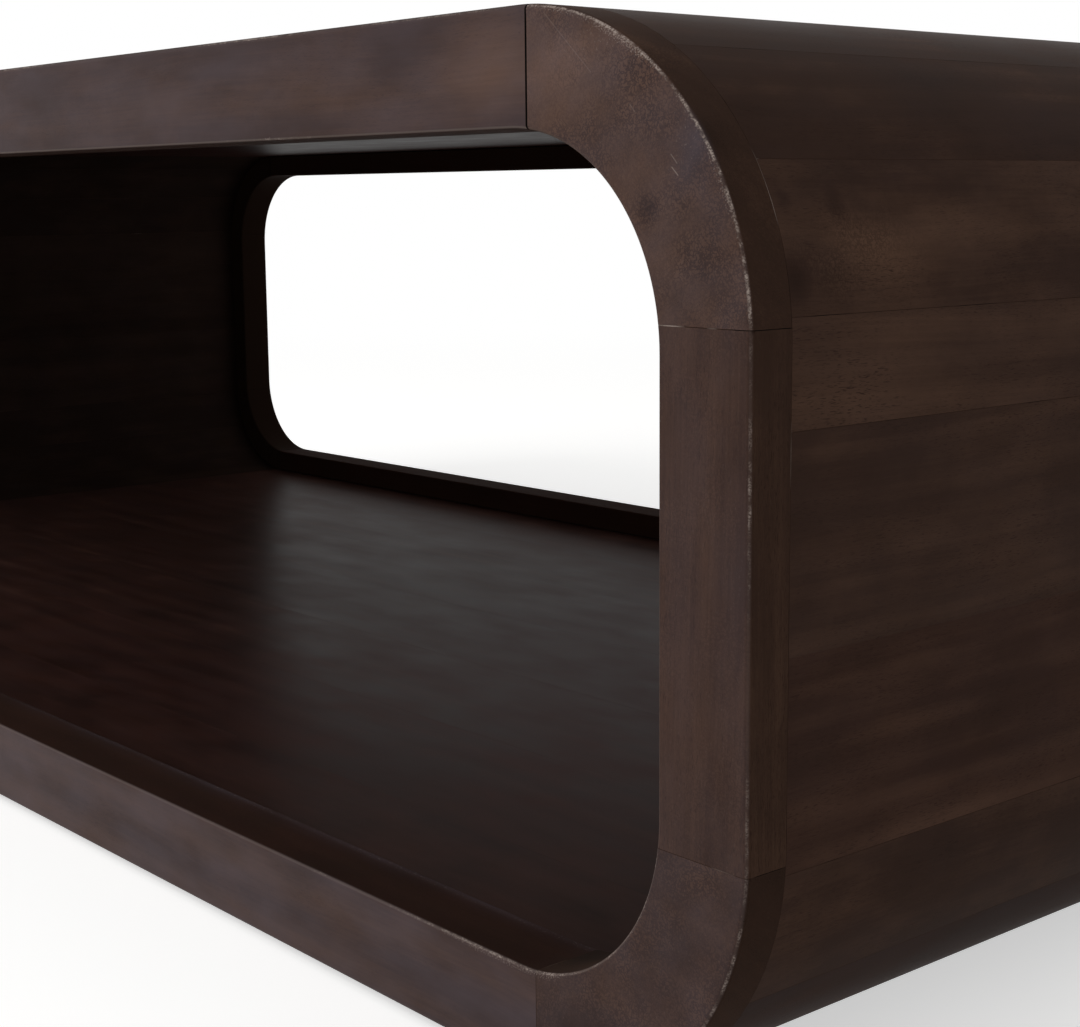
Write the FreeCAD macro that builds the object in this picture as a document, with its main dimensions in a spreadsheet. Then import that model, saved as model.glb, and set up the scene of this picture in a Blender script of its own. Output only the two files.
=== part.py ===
"""Low coffee table in stained hardwood: one closed loop with rounded corners, open at front and back.

Millimetres. X runs along the table, the front is at -Y, and Z is up. The origin lies under the
table's middle, in the plane of the glides' soles.
"""
import FreeCAD, Part
import Sketcher
import math
import os

V = FreeCAD.Vector

SIZES = {
    # the loop as a whole
    "table_length": 1400,
    "table_depth": 700,
    "body_height": 355,
    "outer_radius": 102,
    "inner_radius": 68,
    # the solid frame round each open side
    "frame_width": 38,
    "frame_depth": 29,
    "rebate_depth": 12,
    "arc_beyond_block": 5,
    "outer_arris": 2,
    "inner_arris": 1.5,
    # the shell of boards and staves between the two frames
    "shell_thickness": 19,
    "arc_beyond_stave": 8,
    "middle_stave_width": 48.8,
    "upper_side_board": 33,
    # dowels in the frame's butt joints
    "dowel_diameter": 8,
    "dowel_length": 32,
    # loose splines where the boards' ends meet the corner staves
    "spline_thickness": 6,
    "spline_width": 20,
    # nailed glides under the bottom
    "glide_height": 4,
    "glide_top_diameter": 24,
    "glide_sole_diameter": 20,
    "glide_end_inset": 160,
    "glide_side_inset": 60,
    "nail_diameter": 2.2,
    "nail_head_diameter": 6,
    "nail_head_thickness": 1,
    "nail_bite": 12,
    "recess_diameter": 8,
    "recess_depth": 1.5,
    # how far a saw or a bit runs past the wood
    "overrun": 5,
}
BOARDS_PER_PANEL = 7
LOWER_SIDE_BOARDS = 2
# where the dowels of a joint stand, as shares of the frame's width
DOWEL_SHARES = (0.25, 0.75)

DOC = FreeCAD.newDocument("coffee_table")
SHEET = DOC.addObject("Spreadsheet::Sheet", "Sizes")
for row, (alias, number) in enumerate(SIZES.items(), start=1):
    SHEET.set(f"A{row}", alias)
    SHEET.set(f"B{row}", str(number))
    SHEET.setAlias(f"B{row}", alias)
DOC.recompute()


class Size:
    """A length worked out from the sheet: its expression, and its value as the sheet stands."""

    def __init__(self, text, value):
        self.text = text
        self.value = value

    def __add__(self, other):
        return Size(f"({self.text} + {other.text})", self.value + other.value)

    def __sub__(self, other):
        return Size(f"({self.text} - {other.text})", self.value - other.value)

    def __mul__(self, factor):
        text, value = parts_of(factor)
        return Size(f"({self.text} * {text})", self.value * value)

    def __truediv__(self, divisor):
        text, value = parts_of(divisor)
        return Size(f"({self.text} / {text})", self.value / value)

    def __neg__(self):
        return self * -1


def parts_of(amount):
    """The expression and the value of a size or a plain number."""
    if isinstance(amount, Size):
        return amount.text, amount.value
    return str(amount), amount


def size(alias):
    """One cell of the sheet."""
    return Size(f"Sizes.{alias}", float(SHEET.get(alias)))


NOTHING = Size("0", 0.0)
OVERRUN = size("overrun")
HALF_LENGTH = size("table_length") / 2
HALF_DEPTH = size("table_depth") / 2
HALF_HEIGHT = size("body_height") / 2
MID_HEIGHT = size("glide_height") + HALF_HEIGHT
SHOULDER = size("frame_depth") - size("rebate_depth")
SHELL_HALF = HALF_DEPTH - SHOULDER
# the corner's arc runs a little way on into the rails, stiles and boards beside it
BLOCK_REACH = size("outer_radius") - size("arc_beyond_block")
STAVE_REACH = size("outer_radius") - size("arc_beyond_stave")
BLOCK_X = HALF_LENGTH - BLOCK_REACH
BLOCK_Z = HALF_HEIGHT - BLOCK_REACH
STAVE_X = HALF_LENGTH - STAVE_REACH
STAVE_Z = HALF_HEIGHT - STAVE_REACH

SIDES = (("right", 1), ("left", -1))
LEVELS = (("top", 1), ("bottom", -1))
PIECES = []


def bind(thing, prop, amount):
    """Ties one property of a feature to the sheet."""
    thing.setExpression(prop, amount.text)


def place(thing, x, y, z):
    """Puts a feature at a place; z counts from mid height."""
    for axis, amount in zip("xyz", (x, y, MID_HEIGHT + z)):
        bind(thing, f"Placement.Base.{axis}", amount)


def piece(thing, label, solids=1):
    """Names a finished piece of the table, which holds that many solids."""
    thing.Label = label
    PIECES.append((thing, label, solids))
    return thing


def flipped(span, way):
    """A span from low to high, or its mirror image where way is -1."""
    low, high = span
    return (low, high) if way > 0 else (-high, -low)


def block(name, x, y, z):
    """A block of space from the lowest to the highest place on each axis; z counts from mid height."""
    made = DOC.addObject("Part::Box", name)
    for prop, (low, high) in zip(("Length", "Width", "Height"), (x, y, z)):
        bind(made, prop, high - low)
    place(made, x[0], y[0], z[0])
    return made


def rod(name, diameter, length, x, y, z, along="Z"):
    """A round bar that starts at a place and runs up, or along X."""
    made = DOC.addObject("Part::Cylinder", name)
    bind(made, "Radius", diameter / 2)
    bind(made, "Height", length)
    turn = "rotation(vector(0; 1; 0); 90)" if along == "X" else "rotation(vector(0; 0; 1); 0)"
    spot = f"vector({x.text}; {y.text}; {(MID_HEIGHT + z).text})"
    made.setExpression("Placement", f"placement({spot}; {turn})")
    return made


def group(name, members):
    """Separate solids kept together."""
    made = DOC.addObject("Part::Compound", name)
    made.Links = members
    return made


def cut(name, base, tool):
    """Base less tool."""
    made = DOC.addObject("Part::Cut", name)
    made.Base = base
    made.Tool = tool
    return made


def share_of(name, *shapes):
    """What all the shapes have in common."""
    made = DOC.addObject("Part::MultiCommon", name)
    made.Shapes = list(shapes)
    return made


def mirrored_back(thing, name):
    """The copy of a front piece that stands at the back."""
    made = DOC.addObject("Part::Mirroring", name)
    made.Source = thing
    made.Normal = V(0, 1, 0)
    return made


def upright_sketch(body, name):
    """A sketch in the body's XZ plane."""
    sketch = body.newObject("Sketcher::SketchObject", name)
    plane = [datum for datum in body.Origin.OriginFeatures if datum.Role == "XZ_Plane"]
    sketch.AttachmentSupport = [(plane[0], "")]
    sketch.MapMode = "FlatFace"
    return sketch


def rounded_loop(sketch, name, inset, radius):
    """The table's outline drawn in by inset, with corners of that radius, round the sketch's origin."""
    half_x, half_z = HALF_LENGTH - inset, HALF_HEIGHT - inset
    far_x, far_z, bend = half_x.value, half_z.value, radius.value
    flat_x, flat_z = far_x - bend, far_z - bend
    quarter = math.pi / 2
    centres = ((flat_x, flat_z), (-flat_x, flat_z), (-flat_x, -flat_z), (flat_x, -flat_z))
    arcs = []
    for turn, (x, z) in enumerate(centres):
        circle = Part.Circle(V(x, z, 0), V(0, 0, 1), bend)
        arc = Part.ArcOfCircle(circle, turn * quarter, (turn + 1) * quarter)
        arcs.append(sketch.addGeometry(arc))
    sides = []
    for start, end in (
        ((flat_x, far_z), (-flat_x, far_z)),
        ((-far_x, flat_z), (-far_x, -flat_z)),
        ((-flat_x, -far_z), (flat_x, -far_z)),
        ((far_x, -flat_z), (far_x, flat_z)),
    ):
        sides.append(sketch.addGeometry(Part.LineSegment(V(*start, 0), V(*end, 0))))
    begin, finish, origin = 1, 2, (-1, 1)
    for turn, side in enumerate(sides):
        sketch.addConstraint(Sketcher.Constraint("Tangent", arcs[turn], finish, side, begin))
        following = arcs[(turn + 1) % len(arcs)]
        sketch.addConstraint(Sketcher.Constraint("Tangent", side, finish, following, begin))
        level = "Vertical" if turn % 2 else "Horizontal"
        sketch.addConstraint(Sketcher.Constraint(level, side))
    for arc in arcs[1:]:
        sketch.addConstraint(Sketcher.Constraint("Equal", arcs[0], arc))
    top, left, bottom, right = sides
    for word, made, amount in (
        ("radius", Sketcher.Constraint("Radius", arcs[0], bend), radius),
        ("top", Sketcher.Constraint("DistanceY", *origin, top, begin, far_z), half_z),
        ("bottom", Sketcher.Constraint("DistanceY", bottom, begin, *origin, far_z), half_z),
        ("left", Sketcher.Constraint("DistanceX", left, begin, *origin, far_x), half_x),
        ("right", Sketcher.Constraint("DistanceX", *origin, right, begin, far_x), half_x),
    ):
        index = sketch.addConstraint(made)
        sketch.renameConstraint(index, f"{name}_{word}")
        bind(sketch, f"Constraints.{name}_{word}", amount)


def pad(body, name, sketch, length):
    """Thickens a sketch from the XZ plane towards +Y."""
    made = body.newObject("PartDesign::Pad", name)
    made.Profile = sketch
    bind(made, "Length", length)
    made.Reversed = True
    return made


def rim(shape, depth, outer):
    """Names of the edges round the outside or the opening of the flat face at that depth."""
    near = OVERRUN.value / 100
    faces = [f for f in shape.Faces if f.BoundBox.YLength < near and abs(f.BoundBox.YMin - depth) < near]
    wires = [w for f in faces for w in f.Wires if w.isSame(f.OuterWire) == outer]
    wanted = [edge for wire in wires for edge in wire.Edges]
    return [f"Edge{n}" for n, e in enumerate(shape.Edges, start=1) if any(e.isSame(w) for w in wanted)]


def ease(body, name, base, depth, outer, radius):
    """Rounds the arris round the outside or the opening of the flat face at that depth."""
    DOC.recompute()
    made = body.newObject("PartDesign::Fillet", name)
    made.Base = (base, rim(base.Shape, depth.value, outer))
    bind(made, "Radius", radius)
    return made


def frame_blank():
    """The front frame as one ring: its face, the rebate behind it and the eased arrises."""
    body = DOC.addObject("PartDesign::Body", "frame_blank")
    face = upright_sketch(body, "frame_face")
    rounded_loop(face, "outside", NOTHING, size("outer_radius"))
    rounded_loop(face, "opening", size("frame_width"), size("inner_radius"))
    pad(body, "face_ring", face, SHOULDER)
    lip = upright_sketch(body, "frame_lip")
    shell = size("shell_thickness")
    rounded_loop(lip, "rebate", shell, size("outer_radius") - shell)
    rounded_loop(lip, "opening", size("frame_width"), size("inner_radius"))
    made = pad(body, "lip_ring", lip, size("frame_depth"))
    made = ease(body, "outer_arris", made, NOTHING, True, size("outer_arris"))
    made = ease(body, "inner_arris", made, NOTHING, False, size("inner_arris"))
    ease(body, "lip_arris", made, size("frame_depth"), False, size("inner_arris"))
    place(body, NOTHING, -HALF_DEPTH, NOTHING)
    return body


def shell_blank():
    """The shell between the frames as one ring."""
    body = DOC.addObject("PartDesign::Body", "shell_blank")
    outline = upright_sketch(body, "shell_outline")
    shell = size("shell_thickness")
    rounded_loop(outline, "outside", NOTHING, size("outer_radius"))
    rounded_loop(outline, "inside", shell, size("outer_radius") - shell)
    pad(body, "shell_ring", outline, SHELL_HALF * 2)
    place(body, NOTHING, -SHELL_HALF, NOTHING)
    return body


def frame_dowels():
    """Two dowels across each butt joint of the front frame, in the wood before the rebate."""
    made = []
    across, length = size("dowel_diameter"), size("dowel_length")
    row = -HALF_DEPTH + SHOULDER / 2
    for side, way in SIDES:
        for level, lift in LEVELS:
            for number, share in enumerate(DOWEL_SHARES, start=1):
                sunk = size("frame_width") * share
                name = f"dowel_{level}_{side}_{number}"
                start = BLOCK_X * way - length / 2
                made.append(rod(f"{name}_rail", across, length, start, row, (HALF_HEIGHT - sunk) * lift, "X"))
                start = BLOCK_Z * lift - length / 2
                made.append(rod(f"{name}_stile", across, length, (HALF_LENGTH - sunk) * way, row, start))
    return made


def frame_pieces(ring):
    """The ring parted at its butt seams into rails, stiles and corner blocks."""
    depth = (-HALF_DEPTH - OVERRUN, -HALF_DEPTH + size("frame_depth") + OVERRUN)
    rail_x, stile_z = (-BLOCK_X, BLOCK_X), (-BLOCK_Z, BLOCK_Z)
    end_x = (BLOCK_X, HALF_LENGTH + OVERRUN)
    end_z = (BLOCK_Z, HALF_HEIGHT + OVERRUN)
    spaces = {f"{level}_rail": (rail_x, flipped(end_z, lift)) for level, lift in LEVELS}
    spaces.update({f"{side}_stile": (flipped(end_x, way), stile_z) for side, way in SIDES})
    for level, lift in LEVELS:
        for side, way in SIDES:
            spaces[f"{level}_{side}_corner_block"] = (flipped(end_x, way), flipped(end_z, lift))
    for name, (x, z) in spaces.items():
        space = block(f"saw_{name}", x, depth, z)
        front = piece(share_of(f"front_{name}", ring, space), f"front_{name}")
        piece(mirrored_back(front, f"back_{name}"), f"back_{name}")


def splines():
    """A loose spline across the boards' ends at each corner, half in the boards, half in the stave."""
    made = []
    middle = HALF_HEIGHT - size("shell_thickness") / 2
    half_width, half_thickness = size("spline_width") / 2, size("spline_thickness") / 2
    for level, lift in LEVELS:
        for side, way in SIDES:
            x = flipped((STAVE_X - half_width, STAVE_X + half_width), way)
            z = flipped((middle - half_thickness, middle + half_thickness), lift)
            spline = block(f"{level}_{side}_spline", x, (-SHELL_HALF, SHELL_HALF), z)
            made.append(piece(spline, f"{level}_{side}_spline"))
    return made


def glides():
    """Six nailed glides under the bottom: the pads and the nails, each kept as a group."""
    cones, nails, recesses = [], [], []
    sole = -MID_HEIGHT
    head_low = sole + size("recess_depth") - size("nail_head_thickness")
    shank_low = sole + size("recess_depth")
    shank = size("glide_height") - size("recess_depth") + size("nail_bite")
    for row, back in (("front", -1), ("back", 1)):
        for column, way in (*SIDES, ("middle", 0)):
            name = f"{row}_{column}"
            x = (HALF_LENGTH - size("glide_end_inset")) * way
            y = (HALF_DEPTH - size("glide_side_inset")) * back
            cone = DOC.addObject("Part::Cone", f"glide_{name}")
            bind(cone, "Radius1", size("glide_sole_diameter") / 2)
            bind(cone, "Radius2", size("glide_top_diameter") / 2)
            bind(cone, "Height", size("glide_height"))
            place(cone, x, y, sole)
            cones.append(cone)
            head_size = (size("nail_head_diameter"), size("nail_head_thickness"))
            head = rod(f"nail_head_{name}", *head_size, x, y, head_low)
            stem = rod(f"nail_shank_{name}", size("nail_diameter"), shank, x, y, shank_low)
            nail = DOC.addObject("Part::Fuse", f"nail_{name}")
            nail.Base = head
            nail.Tool = stem
            nails.append(nail)
            room = size("recess_depth") + OVERRUN
            recesses.append(rod(f"recess_{name}", size("recess_diameter"), room, x, y, sole - OVERRUN))
    nail_group = piece(group("glide_nails", nails), "glide_nails", len(nails))
    recessed = cut("recessed_glides", group("glide_cones", cones), group("recesses", recesses))
    piece(cut("glide_pads", recessed, nail_group), "glide_pads", len(cones))
    return nail_group


def panel_boards(shell):
    """Top and bottom: boards that run along the table, side by side from front to back."""
    width = SHELL_HALF * 2 / BOARDS_PER_PANEL
    for level, lift in LEVELS:
        z = flipped((STAVE_Z, HALF_HEIGHT + OVERRUN), lift)
        for number in range(BOARDS_PER_PANEL):
            y = (width * number - SHELL_HALF, width * (number + 1) - SHELL_HALF)
            name = f"{level}_board_{number + 1}"
            space = block(f"saw_{name}", (-STAVE_X, STAVE_X), y, z)
            piece(share_of(name, shell, space), name)


def side_boards(shell):
    """Each side: boards that run from front to back, a narrow one above wider ones."""
    lower = (STAVE_Z * 2 - size("upper_side_board")) / LOWER_SIDE_BOARDS
    seams = [lower * number - STAVE_Z for number in range(LOWER_SIDE_BOARDS + 1)] + [STAVE_Z]
    for side, way in SIDES:
        x = flipped((STAVE_X, HALF_LENGTH + OVERRUN), way)
        for number, z in enumerate(zip(seams, seams[1:]), start=1):
            name = f"{side}_side_board_{number}"
            space = block(f"saw_{name}", x, (-SHELL_HALF, SHELL_HALF), z)
            piece(share_of(name, shell, space), name)


def corner_staves(shell):
    """Each corner: three staves that run from front to back, parted by planes through its centre."""
    inset = size("outer_radius")
    right_angle = Size("90", 90)
    quarter_round = inset * (math.pi / 2)
    turn = right_angle * (size("middle_stave_width") / quarter_round)
    fan = right_angle / 2 - turn / 2
    cuts = ((NOTHING, fan), (fan, turn), (fan + turn, fan))
    for quadrant, (level, lift, side, way) in enumerate(
        (("top", 1, "right", 1), ("top", 1, "left", -1), ("bottom", -1, "left", -1), ("bottom", -1, "right", 1))
    ):
        x = flipped((STAVE_X, HALF_LENGTH + OVERRUN), way)
        z = flipped((STAVE_Z, HALF_HEIGHT + OVERRUN), lift)
        corner = block(f"saw_{level}_{side}_corner", x, (-SHELL_HALF, SHELL_HALF), z)
        words = ["side", "middle", level]
        if lift * way < 0:
            words.reverse()
        for word, (start, spread) in zip(words, cuts):
            name = f"{level}_{side}_{word}_stave"
            wedge = DOC.addObject("Part::Cylinder", f"saw_{name}")
            bind(wedge, "Radius", inset * 2)
            bind(wedge, "Height", SHELL_HALF * 2)
            bind(wedge, "Angle", spread)
            spot_x, spot_z = (HALF_LENGTH - inset) * way, MID_HEIGHT + (HALF_HEIGHT - inset) * lift
            spot = f"vector({spot_x.text}; {SHELL_HALF.text}; {spot_z.text})"
            lean = (start + right_angle * quadrant).text
            tilt = f"rotation(vector(1; 0; 0); 90) * rotation(vector(0; 0; 1); {lean})"
            wedge.setExpression("Placement", f"placement({spot}; {tilt})")
            piece(share_of(name, shell, corner, wedge), name)


def build():
    """All pieces of the table."""
    rods = frame_dowels()
    dowels = piece(group("front_frame_dowels", rods), "front_frame_dowels", len(rods))
    piece(mirrored_back(dowels, "back_frame_dowels"), "back_frame_dowels", len(rods))
    frame_pieces(cut("bored_frame", frame_blank(), dowels))
    nails = glides()
    shell = cut("worked_shell", shell_blank(), group("shell_cuts", [*splines(), nails]))
    panel_boards(shell)
    side_boards(shell)
    corner_staves(shell)
    DOC.recompute()


def check():
    """Stops if any feature failed or a piece isn't the sound solids that it should be."""
    for thing in DOC.Objects:
        if "Invalid" in thing.State or "Error" in thing.State:
            raise RuntimeError(f"{thing.Label} failed: {thing.State}")
    for thing, label, solids in PIECES:
        shape = thing.Shape
        if shape.isNull() or not shape.isValid():
            raise RuntimeError(f"{label} has no sound shape")
        if len(shape.Solids) != solids:
            raise RuntimeError(f"{label} has {len(shape.Solids)} solids in place of {solids}")


def write():
    """Writes each piece to its own file."""
    os.makedirs("parts", exist_ok=True)
    for thing, label, solids in PIECES:
        thing.Shape.exportStep(f"parts/{label}.step")
        print(f"{label}: {thing.Shape.Volume / 1000:.1f} cm3, {solids} solids")
    print(f"{len(PIECES)} pieces")


build()
check()
write()
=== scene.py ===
"""Looks of the coffee table: dark stained hardwood, worn pale along its arrises, in a plain pale studio."""

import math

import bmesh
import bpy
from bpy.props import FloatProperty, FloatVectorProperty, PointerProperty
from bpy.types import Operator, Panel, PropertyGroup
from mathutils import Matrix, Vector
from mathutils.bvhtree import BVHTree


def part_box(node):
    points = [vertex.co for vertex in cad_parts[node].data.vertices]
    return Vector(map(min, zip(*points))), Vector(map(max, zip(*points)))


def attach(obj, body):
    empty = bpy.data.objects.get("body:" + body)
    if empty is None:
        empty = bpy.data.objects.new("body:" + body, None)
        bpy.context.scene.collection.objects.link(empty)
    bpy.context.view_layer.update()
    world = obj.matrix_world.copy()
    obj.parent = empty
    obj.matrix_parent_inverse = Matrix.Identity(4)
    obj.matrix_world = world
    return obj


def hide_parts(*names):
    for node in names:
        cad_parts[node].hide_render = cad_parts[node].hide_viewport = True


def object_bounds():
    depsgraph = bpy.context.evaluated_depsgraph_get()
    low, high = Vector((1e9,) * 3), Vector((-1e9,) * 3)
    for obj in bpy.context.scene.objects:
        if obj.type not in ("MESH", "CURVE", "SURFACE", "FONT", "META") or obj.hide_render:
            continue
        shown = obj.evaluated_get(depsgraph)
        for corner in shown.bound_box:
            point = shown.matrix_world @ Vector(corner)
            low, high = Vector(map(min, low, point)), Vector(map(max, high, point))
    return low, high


bl_info = {
    "name": "Rounded Coffee Table",
    "version": (1, 0, 0),
    "blender": (4, 5, 0),
    "location": "3D View > Sidebar > Coffee Table",
    "description": "Finishes a low open coffee table in stained hardwood and sets up a pale studio round it",
    "category": "Object",
}

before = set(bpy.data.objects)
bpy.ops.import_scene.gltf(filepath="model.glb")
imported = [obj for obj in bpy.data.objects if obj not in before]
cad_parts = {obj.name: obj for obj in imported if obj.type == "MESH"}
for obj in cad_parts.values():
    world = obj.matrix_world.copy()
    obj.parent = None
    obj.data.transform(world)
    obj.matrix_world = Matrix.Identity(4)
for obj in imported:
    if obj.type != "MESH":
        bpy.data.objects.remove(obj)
CAD_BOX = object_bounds()

MM = 0.001
RIGHT_ANGLE = math.pi / 2


def colour(hex_value):
    """A hex sRGB colour as linear red, green and blue with full alpha."""
    shares = [int(hex_value[start:start + 2], 16) / 255 for start in (1, 3, 5)]
    linear = [share / 12.92 if share <= 0.04045 else ((share + 0.055) / 1.055) ** 2.4 for share in shares]
    return (*linear, 1.0)


# places and sizes of the table, read from the frame in metres
TABLE_HIGH = CAD_BOX[1]
WOOD_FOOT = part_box("front_bottom_rail")[0].z
MID_HEIGHT = (WOOD_FOOT + TABLE_HIGH.z) / 2
HALF_LENGTH = TABLE_HIGH.x
HALF_DEPTH = TABLE_HIGH.y
HALF_HEIGHT = TABLE_HIGH.z - MID_HEIGHT


def length(label, description, default, least):
    """A size in metres that a user may change."""
    return FloatProperty(name=label, description=description, default=default, min=least, unit="LENGTH")


def tint(label, description, hex_value):
    """A colour that a user may change."""
    return FloatVectorProperty(name=label, description=description, default=colour(hex_value)[:3],
                               subtype="COLOR", min=0.0, max=1.0)


def angle(label, description, degrees):
    """An angle that a user may change."""
    return FloatProperty(name=label, description=description, default=math.radians(degrees),
                         subtype="ANGLE", unit="ROTATION")


class CoffeeTableShape(PropertyGroup):
    """Sizes that the finish follows and the frame doesn't give by itself."""

    outer_radius: length("Outer radius", "Radius of the table's outer corners", 0.102, 0.01)
    inner_radius: length("Inner radius", "Radius of the opening's corners", 0.068, 0.01)
    frame_width: length("Frame width", "Width of the rails and stiles, seen from the front", 0.038, 0.01)
    glide_rim: length("Glide rim", "Diameter of a glide where it meets the wood", 0.024, 0.005)
    glide_sole: length("Glide sole", "Diameter of a glide on the floor", 0.020, 0.005)
    glide_well: length("Glide well", "Diameter of the recess round a glide's nail head", 0.008, 0.002)
    nail_head: length("Nail head", "Diameter of a glide nail's head", 0.006, 0.002)
    nail_head_height: length("Nail head height", "Thickness of a glide nail's head", 0.001, 0.0003)
    nail_shank: length("Nail shank", "Diameter of a glide nail's shank", 0.0022, 0.0005)
    frame_ease: length("Frame ease", "How far the edges at the frames' seams are rounded over", 0.00035, 0.0)
    shell_ease: length("Shell ease", "How far the edges at the boards' and staves' seams are rounded over",
                       0.00013, 0.0)


class CoffeeTableFinish(PropertyGroup):
    """Colours of the stain and of what shows through it; some of them also paint sheen and highlights."""

    stain_dark: tint("Dark stain", "Stain in the dense late wood", "#231812")
    stain_middle: tint("Middle stain", "Stain on most of the wood", "#382820")
    stain_light: tint("Light stain", "Stain on the pale figure of the wood", "#634A3B")
    # the red brown is the stain's own, and on the shelf floor it also paints a warm tint onto the sheen
    red_stain_and_sheen: tint("Red stain", "Red brown that shows where the light grazes the stain", "#3C1B17")
    # the milky veil is partly the lacquer's own and partly painted sheen: on the frames' front faces, as a
    # painted highlight along the lip's back edge, and as a mauve tint of the sheen on the shell
    lacquer_bloom_and_sheen: tint("Lacquer bloom", "Milky veil where the lacquer has dulled", "#7E7682")
    seam_dirt: tint("Seam dirt", "Stain and dust gathered in the seams", "#0E0A08")
    # the bare wood's colour also paints highlights: pale marks along some seams and along the lip's back edge
    worn_wood_and_highlight: tint("Worn wood", "Bare wood where the stain has rubbed off the arrises", "#A6978E")


class CoffeeTableStage(PropertyGroup):
    """The studio round the table and the camera that looks at it."""

    camera_place: FloatVectorProperty(
        name="Camera place",
        description="Where the camera stands",
        default=(1.07575, -0.74517, 0.30057),
        subtype="TRANSLATION",
        unit="LENGTH",
    )
    camera_heading: angle("Camera heading", "How far the camera is turned from straight ahead to the left",
                          49.84)
    camera_pitch: angle("Camera pitch", "How far the camera looks up, below zero for down", -9.4)
    camera_roll: angle("Camera roll", "How far the camera is tilted about its line of sight", -0.55)
    focal_length: FloatProperty(
        name="Focal length",
        description="Focal length in millimetres, on a frame 36 mm wide",
        default=64.36,
        min=10.0,
    )
    floor_colour: tint("Floor colour", "Colour of the studio floor", "#EFEEEC")


def add(tree, kind, inputs=None, take=0, **settings):
    """Adds a node with its settings, its input values and its links, and gives one of its outputs."""
    node = tree.nodes.new(kind)
    for name, value in settings.items():
        setattr(node, name, value)
    for socket, value in (inputs or {}).items():
        if isinstance(value, bpy.types.NodeSocket):
            tree.links.new(value, node.inputs[socket])
        else:
            node.inputs[socket].default_value = value
    return node.outputs[take] if len(node.outputs) else node


def ramp(socket, stops):
    """Sets the stops of the colour ramp that a socket belongs to: place, then linear colour."""
    elements = socket.node.color_ramp.elements
    while len(elements) < len(stops):
        elements.new(0.5)
    for element, (place, shade) in zip(elements, stops):
        element.position = place
        element.color = shade
    return socket


def new_group(name, inputs, outputs):
    """An empty shader group: its inputs with their defaults, None for a place, and its outputs' kinds."""
    tree = bpy.data.node_groups.new(name, "ShaderNodeTree")
    for label, default in inputs.items():
        kind = "NodeSocketVector" if default is None else "NodeSocketFloat"
        socket = tree.interface.new_socket(label, in_out="INPUT", socket_type=kind)
        if default is not None:
            socket.default_value = default
    for label, kind in outputs.items():
        tree.interface.new_socket(label, in_out="OUTPUT", socket_type=kind)
    source = tree.nodes.new("NodeGroupInput")
    sink = tree.nodes.new("NodeGroupOutput")
    return tree, source.outputs, sink.inputs


def place_in_mm(tree):
    """Where each point of the table lies, in mm."""
    where = add(tree, "ShaderNodeTexCoord", take="Object")
    return add(tree, "ShaderNodeVectorMath", {0: where, "Scale": 1 / MM}, operation="SCALE")


def stretched_noise(tree, place, stretch, detail, roughness=0.5, take=0):
    """Noise drawn out along the grain: its places are first multiplied by a factor on each axis."""
    place = add(tree, "ShaderNodeVectorMath", {0: place, 1: stretch}, operation="MULTIPLY")
    inputs = {"Vector": place, "Scale": 1.0, "Detail": detail, "Roughness": roughness}
    return add(tree, "ShaderNodeTexNoise", inputs, take=take)


def joined(tree, values, operation):
    """Makes one value of several, such as their product, their sum or the largest of them."""
    total, *others = values
    for value in others:
        total = add(tree, "ShaderNodeMath", {0: total, 1: value}, operation=operation)
    return total


def weighted(tree, total, *terms):
    """Adds patterns to a first value, each of them times its weight."""
    for pattern, weight in terms:
        total = add(tree, "ShaderNodeMath", {0: pattern, 1: weight, 2: total}, operation="MULTIPLY_ADD")
    return total


def swing(tree, pattern, share=1.0):
    """How far a pattern swings about its middle, times a share."""
    about = add(tree, "ShaderNodeMath", {0: pattern, 1: 0.5}, operation="SUBTRACT")
    return add(tree, "ShaderNodeMath", {0: about, 1: share}, operation="MULTIPLY")


# the lowest roughness of the lacquer, which is satin at its glossiest
SATIN = 0.3


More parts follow.
